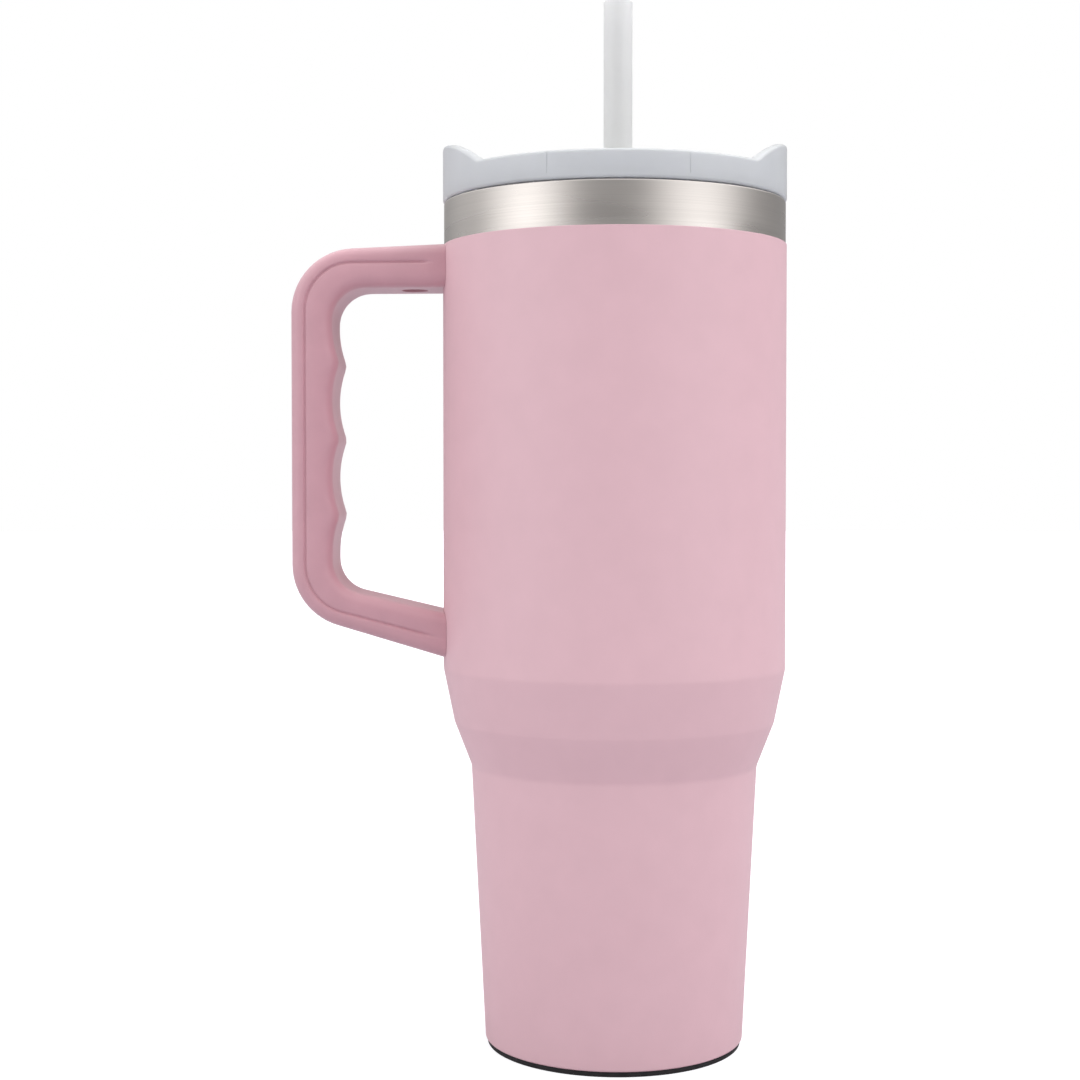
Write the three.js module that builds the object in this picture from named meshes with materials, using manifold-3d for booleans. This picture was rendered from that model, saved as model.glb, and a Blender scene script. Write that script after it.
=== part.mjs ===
// A 1.2 litre double-walled steel tumbler with a moulded side handle, a press-in lid, a sliding
// drinking cover and a straw.
//
// Millimetres, +Z up. The origin is on the floor under the cup's axis. The handle points along -X
// and the lid's drinking side faces -Y.

import * as THREE from "three";
import { mergeVertices } from "three/addons/utils/BufferGeometryUtils.js";
import Module from "manifold-3d";

const wasm = await Module();
wasm.setup();

// ---------------------------------------------------------------- driving dimensions

const AROUND = 48; // facets around the cup's round pieces
const AROUND_SMALL = 24; // facets around the straw, its seal and the screws

// Body: the coloured coat's outer surface, from its foot to its top edge.
const BODY_RADIUS = 49.0;
const KNEE_RADIUS = 45.9;
const WAIST_RADIUS = 41.0;
const FOOT_RADIUS = 37.0;
const COAT_BOTTOM = 1.5;
const WAIST_HEIGHT = 80.3;
const KNEE_HEIGHT = 92.9;
const SHOULDER_HEIGHT = 108.1;
const COAT_TOP = 228.4;
const RIM_TOP = 240.5;

// Layers of the wall, from the outside in.
const COAT = 0.25;
const COAT_GAP = 0.05;
const STEEL = 0.5;
const VACUUM = 2.4;
const WALL_OUTSIDE = COAT + COAT_GAP;
const WALL_INSIDE = WALL_OUTSIDE + STEEL;
const LINER_OUTSIDE = WALL_INSIDE + VACUUM;
const LINER_INSIDE = LINER_OUTSIDE + STEEL;
const CUP_FLOOR = 11.4;

const TOUCH = 0.15; // gap between two pieces that touch
const RUNNING = 0.3; // gap between two pieces that slide or turn

// Handle: its outline seen from the side, and its width along Y.
const HANDLE_WIDTH = 24;
const HANDLE_ROUND = 3.5;
const HANDLE_BACK = -91.5;
const HANDLE_GRIP = -79.9;
const HANDLE_ROOT = -40;
const COVER_SKIN = 2.4;
const CORE_WIDTH = 17;
const RIDGE_HEIGHTS = [151.8, 173.4, 195.0];
const RIDGE_PITCH = 21.6;
const RIDGE_DEPTH = 1.95;
const GROOVE_INSET = 4.0;
const GROOVE_WIDTH = 1.3;
const GROOVE_DEPTH = 0.5;
const GROOVE_END_RADIUS = 52;

// Where each arm of the handle meets the wall, and how it slopes away from it, in degrees.
const ARMS = {
  upper: { height: 222.3, slope: -1.4 },
  lower: { height: 118.05, slope: 14.9 },
};
const TONGUE = { length: 14, width: 10, thickness: 3 };
const SADDLE = { width: 15.4, height: 5.4, thickness: 1.2 };
const SCREW_REACH = 8.3; // from the wall to the screw's axis, along the arm
const SCREW_HEAD_RADIUS = 3.5;
const SCREW_HEAD_HEIGHT = 1.9;
const SCREW_SHANK_RADIUS = 1.9;
const SCREW_LENGTH = 4.8;
const SCREW_SEAT = 2.6; // from the arm's middle down to the head's seat

// Lid.
const LID_BOTTOM = 240.65;
const LID_RADIUS = 49.0;
const LID_TOP = 248.3;
const LID_WALL = 2.2;
const DECK_TOP = 243.2;
const DECK_BOTTOM = 241.2;
const PLUG_RADIUS = 44.3;
const PLUG_INSIDE = 40.8;
const PLUG_BOTTOM = 227.0;
const SEAL_GROOVE_RADIUS = 42.3;
const SEAL_GROOVE = [229.2, 233.8];
const EAR_HEIGHT = 7.7;
const EAR_FOOT = 30.7; // half the tab's length along Y

// The track across the lid, and the cover that slides in it.
const TRACK_HALF_WIDTH = 20.6;
const TRACK_LIP_HALF_WIDTH = 18.9;
const TRACK_FLOOR = 239.3;
const TRACK_FLOOR_THICKNESS = 1.6;
const TRACK_WALL = 1.6;
const TRACK_FRONT_RADIUS = 43.0;
const TRACK_REAR = 14;
const TRACK_LIP_BOTTOM = 242.2;
const SLIDER_TRAVEL = 16;
const SLIDER_TOP = 241.9;
const SLIDER_REAR = -4;
const SLIDER_NOTCH_RADIUS = 7.8;
const SLIDER_RIDGE = { width: 22, thickness: 3, top: 246.2, y: -28.5 };
const SIP_HOLE = { length: 18, width: 8, y: -35.5 };
const SIP_SEAL = { length: 21, width: 11, bottom: 239.5, thickness: 1.0 };
const VENT = { radius: 1.3, y: 28 };

// Straw and the seal that it slides through.
const STRAW_X = 1.0; // the straw stands a little to one side of the cup's axis
const STRAW_RADIUS = 4.1;
const STRAW_WALL = 0.7;
const STRAW_BOTTOM = 12.2;
const STRAW_TOP = 298.2;
const STRAW_HOLE_RADIUS = 6.0;
const STRAW_BOSS_RADIUS = 7.8;
const STRAW_BOSS_BOTTOM = 233;
const STRAW_SEAL_FLANGE = 7.2;

// ---------------------------------------------------------------- finishes

const finish = (color, roughness, metalness = 0, opacity = 1) =>
  new THREE.MeshStandardMaterial({
    color,
    roughness,
    metalness,
    opacity,
    transparent: opacity < 1,
  });
const PINK_COAT = finish(0xdfb6c0, 0.55);
const PINK_HANDLE = finish(0xc9949f, 0.5);
const PINK_CORE = finish(0xb98490, 0.6);
const BRUSHED_STEEL = finish(0xb9b2ac, 0.32, 1);
const COPPER_FOIL = finish(0xb87a55, 0.3, 1);
const SEALING_SOLDER = finish(0x3a3a3c, 0.5, 0.6);
const GETTER_METAL = finish(0x77777a, 0.6, 0.9);
const BLACK_RUBBER = finish(0x141114, 0.8);
const CLEAR_LID = finish(0xc9ccd3, 0.35, 0, 0.75);
const CLEAR_SLIDER = finish(0xd4d7dd, 0.3, 0, 0.75);
const WHITE_SILICONE = finish(0xeceae6, 0.6);
const STRAW_PLASTIC = finish(0xd9d9da, 0.4, 0, 0.85);

// ---------------------------------------------------------------- outlines

const corner = (x, y, round = 0) => ({ x, y, round });

// Follows corners with straight lines, and rounds each corner that has a radius with an arc.
function follow(path, corners, join = false) {
  corners.forEach((c, i) => {
    const before = corners[i - 1];
    const after = corners[i + 1];
    if (!c.round || !before || !after) {
      if (i === 0 && !join) path.moveTo(c.x, c.y);
      else path.lineTo(c.x, c.y);
      return;
    }
    const back = new THREE.Vector2(before.x - c.x, before.y - c.y).normalize();
    const on = new THREE.Vector2(after.x - c.x, after.y - c.y).normalize();
    const half = Math.acos(THREE.MathUtils.clamp(back.dot(on), -1, 1)) / 2;
    const reach = c.round / Math.tan(half);
    const toCentre = back.clone().add(on).setLength(c.round / Math.sin(half));
    const centre = toCentre.add(new THREE.Vector2(c.x, c.y));
    const start = back.clone().multiplyScalar(reach).add(new THREE.Vector2(c.x, c.y));
    const end = on.clone().multiplyScalar(reach).add(new THREE.Vector2(c.x, c.y));
    const angle = (p) => Math.atan2(p.y - centre.y, p.x - centre.x);
    path.lineTo(start.x, start.y);
    path.absarc(centre.x, centre.y, c.round, angle(start), angle(end), back.cross(on) > 0);
  });
  return path;
}

// The same corners moved sideways by a distance, to the left of their direction of travel.
function offset(corners, distance) {
  const normal = (a, b) => new THREE.Vector2(a.y - b.y, b.x - a.x).normalize();
  return corners.map((c, i) => {
    const before = corners[i - 1];
    const after = corners[i + 1];
    const one = normal(before ?? c, before ? c : after);
    const two = normal(after ? c : before, after ?? c);
    const mitre = one.clone().add(two);
    mitre.multiplyScalar((2 * distance) / mitre.lengthSq());
    const turnsLeft = one.cross(two) > 0;
    const round = c.round ? Math.max(c.round + (turnsLeft ? -distance : distance), 0) : 0;
    return corner(c.x + mitre.x, c.y + mitre.y, round);
  });
}

const unrounded = (corners) => corners.map((c) => corner(c.x, c.y));

// A point of a straight line through a and b, at height y.
const atHeight = (a, b, y) => corner(a.x + ((b.x - a.x) * (y - a.y)) / (b.y - a.y), y);

// ---------------------------------------------------------------- solids

// Turns a closed outline of (radius, height) points around Z.
function turned(points, around = AROUND) {
  const outline = points.map((p) => new THREE.Vector2(p.x, p.y));
  const closed = outline[0].x > 0 || outline.at(-1).x > 0;
  if (closed) outline.push(outline[0].clone());
  if (THREE.ShapeUtils.area(outline) < 0) outline.reverse();
  return new THREE.LatheGeometry(outline, around).rotateX(Math.PI / 2);
}

// A plain cylinder around Z between two heights.
function rod(radius, bottom, top, around = AROUND) {
  return turned([corner(0, bottom), corner(radius, bottom), corner(radius, top), corner(0, top)], around);
}

// A box from its two opposite corners.
function box(x0, y0, z0, x1, y1, z1) {
  const made = new THREE.BoxGeometry(x1 - x0, y1 - y0, z1 - z0);
  return made.translate((x0 + x1) / 2, (y0 + y1) / 2, (z0 + z1) / 2);
}

// A shape drawn in the XZ plane, with its width along Y centred on zero.
function sideways(shape, width, round = 0, curveSegments = 4) {
  const made = new THREE.ExtrudeGeometry(shape, {
    depth: width - 2 * round,
    bevelEnabled: round > 0,
    bevelThickness: round,
    bevelSize: round,
    bevelOffset: -round,
    bevelSegments: 2,
    curveSegments,
  });
  return made.rotateX(Math.PI / 2).translate(0, width / 2 - round, 0);
}

// A slot with round ends along X, between two heights.
function slot(length, width, y, bottom, top) {
  const straight = length / 2 - width / 2;
  const shape = new THREE.Shape();
  shape.absarc(straight, y, width / 2, -Math.PI / 2, Math.PI / 2, false);
  shape.absarc(-straight, y, width / 2, Math.PI / 2, (3 * Math.PI) / 2, false);
  const made = new THREE.ExtrudeGeometry(shape, {
    depth: top - bottom,
    bevelEnabled: false,
    curveSegments: 6,
  });
  return made.translate(0, 0, bottom);
}

function solid(geometry) {
  const bare = new THREE.BufferGeometry();
  const loose = geometry.index ? geometry.toNonIndexed() : geometry;
  bare.setAttribute("position", loose.getAttribute("position"));
  const merged = mergeVertices(bare, 1e-4);
  const mesh = new wasm.Mesh({
    numProp: 3,
    vertProperties: merged.attributes.position.array,
    triVerts: new Uint32Array(merged.index.array),
  });
  return new wasm.Manifold(mesh);
}

function geometryOf(manifold) {
  const mesh = manifold.getMesh();
  const made = new THREE.BufferGeometry();
  made.setAttribute("position", new THREE.BufferAttribute(mesh.vertProperties, 3));
  made.setIndex(new THREE.BufferAttribute(mesh.triVerts, 1));
  made.computeVertexNormals();
  return made;
}

// The first geometry, with each of the others cut out of it.
const cut = (geometry, ...tools) =>
  geometryOf(tools.reduce((left, tool) => left.subtract(solid(tool)), solid(geometry)));

const joined = (...geometries) =>
  geometryOf(geometries.map(solid).reduce((all, next) => all.add(next)));

const shared = (one, two) => geometryOf(solid(one).intersect(solid(two)));

// ---------------------------------------------------------------- body

// The coat's outer surface, up from the foot. Offsetting it to the left goes into the wall.
const foot = corner(FOOT_RADIUS, COAT_BOTTOM, 0.6);
const waist = corner(WAIST_RADIUS, WAIST_HEIGHT);
const knee = corner(KNEE_RADIUS, KNEE_HEIGHT);
const shoulder = corner(BODY_RADIUS, SHOULDER_HEIGHT);
const coatTop = corner(BODY_RADIUS, COAT_TOP);
const coatSurface = [corner(34.6, COAT_BOTTOM), foot, waist, knee, shoulder, coatTop];

// The wall's surface at a depth under the coat's surface, from its foot to a height.
function layer(depth, top) {
  const [, ...below] = offset(coatSurface, depth).slice(0, -1);
  return [...below, corner(BODY_RADIUS - depth, top)];
}

function powderCoat() {
  const outside = follow(new THREE.Path(), coatSurface).getPoints(1);
  const start = corner(coatSurface[0].x, COAT_BOTTOM + COAT);
  const inside = follow(new THREE.Path(), [start, ...layer(COAT, COAT_TOP)]).getPoints(1);
  const skin = turned([...outside, ...inside.reverse()]);
  const windows = Object.values(ARMS).map((arm) => {
    const half = { y: SADDLE.width / 2 + RUNNING, z: SADDLE.height / 2 + RUNNING };
    return box(-6, -half.y, -half.z, 6, half.y, half.z).applyMatrix4(armFrame(arm));
  });
  return cut(skin, ...windows);
}

const HEM_HEIGHT = COAT_BOTTOM + WALL_OUTSIDE;
const HEM_RADIUS = 34.3;
const LIP_MIDDLE = 46.7; // where the outer wall and the liner meet at the rim

function outerWall() {
  const outside = layer(WALL_OUTSIDE, RIM_TOP);
  outside.at(-1).round = 1.8;
  const hem = corner(HEM_RADIUS, HEM_HEIGHT);
  const lip = [corner(LIP_MIDDLE + TOUCH / 2, RIM_TOP), corner(LIP_MIDDLE + TOUCH / 2, RIM_TOP - STEEL)];
  const inside = layer(WALL_INSIDE, RIM_TOP - STEEL).reverse();
  inside[0].round = 1.3;
  const hemInside = corner(HEM_RADIUS, HEM_HEIGHT + STEEL);
  const outline = follow(new THREE.Path(), [hem, ...outside, ...lip, ...inside, hemInside]);
  return turned(outline.getPoints(1));
}

// A layer of the liner's wall, which ends in a flat floor at a height.
function flooredLayer(depth, floor, top) {
  const [footHere, waistHere, ...above] = layer(depth, top);
  return [atHeight(footHere, waistHere, floor), waistHere, ...above];
}

// The cup that holds the drink: its inner surface up from the floor, then its outer surface back down.
function innerLiner() {
  const inside = flooredLayer(LINER_INSIDE, CUP_FLOOR, RIM_TOP);
  inside[0].round = 7;
  inside.at(-1).round = 1.2;
  const lip = [corner(LIP_MIDDLE - TOUCH / 2, RIM_TOP), corner(LIP_MIDDLE - TOUCH / 2, RIM_TOP - STEEL)];
  const outside = flooredLayer(LINER_OUTSIDE, CUP_FLOOR - STEEL, RIM_TOP - STEEL).reverse();
  outside[0].round = 0.6;
  outside.at(-1).round = 7.4;
  const outline = [
    corner(0, CUP_FLOOR),
    ...inside,
    ...lip,
    ...outside,
    corner(0, CUP_FLOOR - STEEL),
  ];
  return turned(follow(new THREE.Path(), outline).getPoints(1));
}

// Copper foil wrapped round the liner's straight part, inside the vacuum.
function reflectiveFoil() {
  const radius = BODY_RADIUS - LINER_OUTSIDE + 0.5;
  const thickness = 0.3;
  const bottom = SHOULDER_HEIGHT + 4;
  const top = COAT_TOP - 4;
  return turned([
    corner(radius, bottom),
    corner(radius + thickness, bottom),
    corner(radius + thickness, top),
    corner(radius, top),
  ]);
}

// The dished disc that closes the outer wall's foot, with a dimple for the sealing hole.
const BASE_FLANGE = HEM_HEIGHT + STEEL + TOUCH;
const BASE_DISH = 5.6;
const DIMPLE_DEPTH = 1.2;
const SEAL_HOLE_RADIUS = 1.0;

function outerBase() {
  const under = [
    corner(SEAL_HOLE_RADIUS, BASE_DISH - DIMPLE_DEPTH),
    corner(4.5, BASE_DISH - DIMPLE_DEPTH),
    corner(6.0, BASE_DISH),
    corner(29.0, BASE_DISH),
    corner(31.5, BASE_FLANGE),
    corner(35.4, BASE_FLANGE),
  ];
  const top = unrounded(offset(under, STEEL)).reverse();
  return turned([...under, ...top]);
}

// A drop of solder that closes the sealing hole once the air is out.
function vacuumSeal() {
  const bottom = BASE_DISH - DIMPLE_DEPTH - TOUCH;
  return turned([corner(0, bottom - 1.0), corner(2.4, bottom - 0.8), corner(3.0, bottom), corner(0, bottom)]);
}

// A pellet in a pressed cup on the base, which takes up the gas left in the vacuum.
function getterPellet() {
  const bottom = BASE_DISH + STEEL + TOUCH;
  return rod(4.0, bottom, bottom + 2.2, AROUND_SMALL).translate(18, 0, 0);
}

// A thin pressed disc that hides the dished base and its seal.
const COVER_TOP = HEM_HEIGHT + STEEL;
function baseCover() {
  const top = COVER_TOP;
  const radius = HEM_RADIUS - RUNNING;
  return rod(radius, top - 0.6, top, AROUND);
}

// The non-slip pad: flat at its middle and at its rim, with one shallow groove between them.
function basePad() {
  const radius = 36.4;
  const top = COAT_BOTTOM - TOUCH;
  return turned([
    corner(0, 0),
    corner(12, 0),
    corner(12.6, 0.5),
    corner(25.4, 0.5),
    corner(26, 0),
    corner(radius - 0.3, 0),
    corner(radius, 0.3),
    corner(radius, top),
    corner(0, top),
  ]);
}

// ---------------------------------------------------------------- handle

// The frame of an arm of the handle: its own +X runs along the arm, away from the wall.
function armFrame(arm) {
  const slope = THREE.MathUtils.degToRad(arm.slope);
  const along = new THREE.Vector3(-Math.cos(slope), 0, Math.sin(slope));
  const across = new THREE.Vector3(0, -1, 0);
  const up = new THREE.Vector3().crossVectors(along, across);
  const place = new THREE.Matrix4().makeBasis(along, across, up);
  return place.setPosition(-BODY_RADIUS, 0, arm.height);
}

// The handle's outer side, from the top arm's root round to the bottom arm's root, and its hand side.
const handleOutside = [
  corner(HANDLE_ROOT, 228.8),
  corner(HANDLE_BACK, 226.45, 18),
  corner(HANDLE_BACK, 124.45, 18),
  corner(HANDLE_ROOT, 109.1),
];
const handleInside = [
  corner(HANDLE_ROOT, 122.2),
  corner(HANDLE_GRIP, 131.6, 9.5),
  corner(HANDLE_GRIP, 216.1, 9.5),
  corner(HANDLE_ROOT, 216.25),
];

// The hand side's ridges between the fingers: how far they stand out at a height.
function ridge(height) {
  const nearest = RIDGE_HEIGHTS.map((peak) => Math.abs(height - peak)).sort((a, b) => a - b)[0];
  if (nearest > RIDGE_PITCH / 2) return 0;
  return RIDGE_DEPTH * Math.pow((1 + Math.cos((2 * Math.PI * nearest) / RIDGE_PITCH)) / 2, 1.7);
}

// The hand side as corners, with the straight run between its two bends given the finger ridges.
function ridgedInside() {
  const [root, lowerBend, upperBend, upperRoot] = handleInside;
  const steps = 24;
  const bottom = RIDGE_HEIGHTS[0] - RIDGE_PITCH / 2;
  const top = RIDGE_HEIGHTS.at(-1) + RIDGE_PITCH / 2;
  const fingers = Array.from({ length: steps + 1 }, (_, i) => {
    const height = bottom + ((top - bottom) * i) / steps;
    return corner(HANDLE_GRIP + ridge(height), height);
  });
  return [root, lowerBend, ...fingers, upperBend, upperRoot];
}

const handleShape = (outside, inside) =>
  follow(follow(new THREE.Shape(), outside), inside, true);

// The handle's shape pulled in by a skin's thickness on both sides.
const innerShape = (skin) => handleShape(offset(handleOutside, skin), offset(handleInside, skin));

const GROOVE_FACES = [-1, 1];

function handleCover() {
  const block = sideways(handleShape(handleOutside, ridgedInside()), HANDLE_WIDTH, HANDLE_ROUND);
  const hollow = sideways(innerShape(COVER_SKIN - TOUCH), CORE_WIDTH + 2 * TOUCH);
  const near = offset(handleOutside, GROOVE_INSET - GROOVE_WIDTH / 2);
  const far = offset(handleOutside, GROOVE_INSET + GROOVE_WIDTH / 2).reverse();
  const strip = sideways(handleShape(near, far), 2 * GROOVE_DEPTH);
  const stopped = cut(strip, rod(GROOVE_END_RADIUS, 90, 240));
  const grooves = GROOVE_FACES.map((side) =>
    stopped.clone().translate(0, (side * HANDLE_WIDTH) / 2, 0),
  );
  const recesses = Object.values(ARMS).map((arm) =>
    rod(SCREW_HEAD_RADIUS + RUNNING, -9, 0, AROUND_SMALL)
      .translate(SCREW_REACH, 0, 0)
      .applyMatrix4(armFrame(arm)),
  );
  return cut(block, hollow, rod(BODY_RADIUS + RUNNING, 90, 240), ...grooves, ...recesses);
}

function handleCore() {
  const bar = sideways(innerShape(COVER_SKIN), CORE_WIDTH);
  const sockets = Object.values(ARMS).flatMap((arm) => {
    const half = { y: TONGUE.width / 2 + RUNNING, z: TONGUE.thickness / 2 + RUNNING };
    const socket = box(-4, -half.y, -half.z, TONGUE.length + 1, half.y, half.z);
    const shank = rod(SCREW_SHANK_RADIUS + RUNNING, -9, 2.4, AROUND_SMALL);
    const head = rod(SCREW_HEAD_RADIUS + RUNNING, -9, -SCREW_SEAT, AROUND_SMALL);
    const drilled = [shank, head].map((tool) => tool.translate(SCREW_REACH, 0, 0));
    return [socket, ...drilled].map((tool) => tool.applyMatrix4(armFrame(arm)));
  });
  return cut(bar, rod(BODY_RADIUS + SADDLE.thickness + RUNNING, 90, 240), ...sockets);
}

// A steel tongue welded to the wall. The handle's arm slides over it and is screwed to it.
function bracket(arm) {
  const { width, height, thickness } = SADDLE;
  const half = { y: TONGUE.width / 2, z: TONGUE.thickness / 2 };
  const block = box(-6, -width / 2, -height / 2, 6, width / 2, height / 2).applyMatrix4(armFrame(arm));
  const saddle = shared(block, rod(BODY_RADIUS + thickness, 90, 240));
  const tongue = box(-3, -half.y, -half.z, TONGUE.length, half.y, half.z).applyMatrix4(armFrame(arm));
  const hole = rod(SCREW_SHANK_RADIUS + 0.2, -9, 9, AROUND_SMALL)
    .translate(SCREW_REACH, 0, 0)
    .applyMatrix4(armFrame(arm));
  return cut(joined(saddle, tongue), rod(BODY_RADIUS - WALL_OUTSIDE + TOUCH, 90, 240), hole);
}

// A pan-head screw with a hexagon socket, driven up into an arm from below.
function handleScrew(arm) {
  const seat = -SCREW_SEAT - TOUCH;
  const bottom = seat - SCREW_HEAD_HEIGHT;
  const blank = turned(
    [
      corner(0, bottom),
      corner(SCREW_HEAD_RADIUS - 0.7, bottom),
      corner(SCREW_HEAD_RADIUS, bottom + 0.7),
      corner(SCREW_HEAD_RADIUS, seat),
      corner(SCREW_SHANK_RADIUS, seat),
      corner(SCREW_SHANK_RADIUS, seat + SCREW_LENGTH - 0.5),
      corner(SCREW_SHANK_RADIUS - 0.5, seat + SCREW_LENGTH),
      corner(0, seat + SCREW_LENGTH),
    ],
    AROUND_SMALL,
  );
  const socket = rod(1.6, bottom - 1, bottom + 1.2, 6);
  return cut(blank, socket).translate(SCREW_REACH, 0, 0).applyMatrix4(armFrame(arm));
}

// ---------------------------------------------------------------- lid

// The raised thumb tabs at both ends of the lid, cut from a taller ring by their side view.
function ears() {
  const base = LID_TOP - 1.2;
  const top = LID_TOP + EAR_HEIGHT;
  const steps = 18;
  const crest = Array.from({ length: steps + 1 }, (_, i) => {
    const along = (2 * i) / steps - 1;
    return corner(EAR_FOOT * along, LID_TOP + EAR_HEIGHT * (1 - Math.abs(along) ** 3));
  });
  const feet = [corner(-EAR_FOOT, base), corner(EAR_FOOT, base)];
  const shape = follow(new THREE.Shape(), [feet[0], ...crest, feet[1]]);
  const sideView = sideways(shape, 2 * LID_RADIUS + 4).rotateZ(Math.PI / 2);
  const inside = LID_RADIUS - LID_WALL;
  const ring = turned([
    corner(inside, base),
    corner(LID_RADIUS, base),
    corner(LID_RADIUS, top - 2),
    corner(LID_RADIUS - 0.6, top - 0.6),
    corner(LID_RADIUS - 1.6, top),
    corner(inside + 0.4, top),
  ]);
  return shared(ring, sideView);
}

function lidShell() {
  const [grooveBottom, grooveTop] = SEAL_GROOVE;
  const wallInside = LID_RADIUS - LID_WALL;
  return turned([
    corner(0, DECK_BOTTOM),
    corner(PLUG_INSIDE, DECK_BOTTOM),
    corner(PLUG_INSIDE, PLUG_BOTTOM),
    corner(PLUG_RADIUS - 0.8, PLUG_BOTTOM),
    corner(PLUG_RADIUS, PLUG_BOTTOM + 0.8),
    corner(PLUG_RADIUS, grooveBottom),
    corner(SEAL_GROOVE_RADIUS, grooveBottom),
    corner(SEAL_GROOVE_RADIUS, grooveTop),
    corner(PLUG_RADIUS, grooveTop),
    corner(PLUG_RADIUS, LID_BOTTOM),
    corner(LID_RADIUS - 0.5, LID_BOTTOM),
    corner(LID_RADIUS, LID_BOTTOM + 0.6),
    corner(LID_RADIUS, LID_TOP - 0.7),
    corner(LID_RADIUS - 0.6, LID_TOP),
    corner(wallInside + 0.4, LID_TOP),
    corner(wallInside, LID_TOP - 0.5),
    corner(wallInside, DECK_TOP),
    corner(0, DECK_TOP),
  ]);
}

// The track's hollow: wide at the floor, and narrower above its lips, which hold the slider down.
function trackHollow() {
  const wide = box(-TRACK_HALF_WIDTH, -50, TRACK_FLOOR, TRACK_HALF_WIDTH, TRACK_REAR, TRACK_LIP_BOTTOM);
  const narrow = box(-TRACK_LIP_HALF_WIDTH, -50, TRACK_FLOOR, TRACK_LIP_HALF_WIDTH, TRACK_REAR, DECK_TOP + 2);
  const front = rod(TRACK_FRONT_RADIUS, TRACK_FLOOR - 1, DECK_TOP + 3);
  return shared(joined(wide, narrow), front);
}

function trackTray() {
  const half = TRACK_HALF_WIDTH + TRACK_WALL;
  const bottom = TRACK_FLOOR - TRACK_FLOOR_THICKNESS;
  const block = box(-half, -50, bottom, half, TRACK_REAR + TRACK_WALL, DECK_TOP - 0.1);
  return shared(block, rod(PLUG_RADIUS - 0.1, bottom - 1, DECK_TOP + 1));
}

function lidBody() {
  const boss = rod(STRAW_BOSS_RADIUS, STRAW_BOSS_BOTTOM, TRACK_FLOOR - 0.1, AROUND_SMALL);
  const bore = rod(STRAW_HOLE_RADIUS, STRAW_BOSS_BOTTOM - 1, DECK_TOP + 1, AROUND_SMALL);
  return cut(
    joined(lidShell(), ears(), trackTray(), boss.translate(STRAW_X, 0, 0)),
    trackHollow(),
    slot(SIP_HOLE.length, SIP_HOLE.width, SIP_HOLE.y, PLUG_BOTTOM, DECK_TOP + 1),
    bore.translate(STRAW_X, 0, 0),
    rod(VENT.radius, DECK_BOTTOM - 1, DECK_TOP + 1, 12).translate(0, VENT.y, 0),
  );
}

// A silicone ring in the plug's groove, with two lips that wipe the liner.
function lidSeal() {
  const [bottom, top] = SEAL_GROOVE;
  const inside = SEAL_GROOVE_RADIUS + RUNNING;
  const valley = PLUG_RADIUS - 0.7;
  const tip = BODY_RADIUS - LINER_INSIDE - TOUCH;
  const low = bottom + RUNNING;
  const high = top - RUNNING;
  const pitch = (high - low) / 2;
  const lips = [0, 1].flatMap((i) => [
    corner(valley, low + i * pitch),
    corner(tip, low + (i + 0.5) * pitch),
  ]);
  return turned([corner(inside, low), ...lips, corner(valley, high), corner(inside, high)]);
}

// The cover that slides along the track: a plate with a notch that straddles the straw.
function slider() {
  const half = TRACK_HALF_WIDTH - RUNNING;
  const bottom = TRACK_FLOOR + RUNNING;
  const plate = shared(
    box(-half, -50, bottom, half, SLIDER_REAR, SLIDER_TOP),
    rod(TRACK_FRONT_RADIUS - RUNNING, bottom - 1, SLIDER_TOP + 1),
  );
  const { width, thickness, top, y } = SLIDER_RIDGE;
  const grip = box(-width / 2, y - thickness / 2, SLIDER_TOP - 0.5, width / 2, y + thickness / 2, top);
  const notchRound = rod(SLIDER_NOTCH_RADIUS, bottom - 1, SLIDER_TOP + 1, AROUND_SMALL);
  const notch = box(-SLIDER_NOTCH_RADIUS, 0, bottom - 1, SLIDER_NOTCH_RADIUS, 30, SLIDER_TOP + 1);
  const pocketTop = SIP_SEAL.bottom + SIP_SEAL.thickness + TOUCH;
  const pocket = slot(
    SIP_SEAL.length + 2 * TOUCH,
    SIP_SEAL.width + 2 * TOUCH,
    SIP_HOLE.y,
    bottom - 1,
    pocketTop,
  );
  return cut(
    joined(plate, grip),
    notchRound.translate(STRAW_X, -SLIDER_TRAVEL, 0),
    notch.translate(STRAW_X, -SLIDER_TRAVEL, 0),
    pocket,
  );
}

// The silicone pad under the slider that closes the drinking hole.
function sliderSeal() {
  const { length, width, bottom, thickness } = SIP_SEAL;
  return slot(length, width, SIP_HOLE.y, bottom, bottom + thickness);
}

// The silicone sleeve in the lid's middle hole. The straw slides in it.
function strawSeal() {
  const inside = STRAW_RADIUS + 0.25;
  const neck = STRAW_HOLE_RADIUS - TOUCH;
  const beadTop = STRAW_BOSS_BOTTOM - TOUCH;
  const flangeBottom = TRACK_FLOOR + TOUCH;
  return turned(
    [
      corner(inside, beadTop - 1.2),
      corner(neck + 0.4, beadTop - 1.2),
      corner(neck + 1.0, beadTop - 0.5),
      corner(neck + 1.0, beadTop),
      corner(neck, beadTop),
      corner(neck, flangeBottom),
      corner(STRAW_SEAL_FLANGE, flangeBottom),
      corner(STRAW_SEAL_FLANGE, flangeBottom + 0.7),
      corner(STRAW_SEAL_FLANGE - 0.5, flangeBottom + 1.1),
      corner(inside, flangeBottom + 1.1),
    ],
    AROUND_SMALL,
  ).translate(STRAW_X, 0, 0);
}

function straw() {
  const inside = STRAW_RADIUS - STRAW_WALL;
  return turned(
    [
      corner(inside, STRAW_BOTTOM),
      corner(STRAW_RADIUS, STRAW_BOTTOM),
      corner(STRAW_RADIUS, STRAW_TOP - 0.6),
      corner(STRAW_RADIUS - 0.25, STRAW_TOP),
      corner(inside, STRAW_TOP),
    ],
    AROUND_SMALL,
  ).translate(STRAW_X, 0, 0);
}

// ---------------------------------------------------------------- the object

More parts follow.
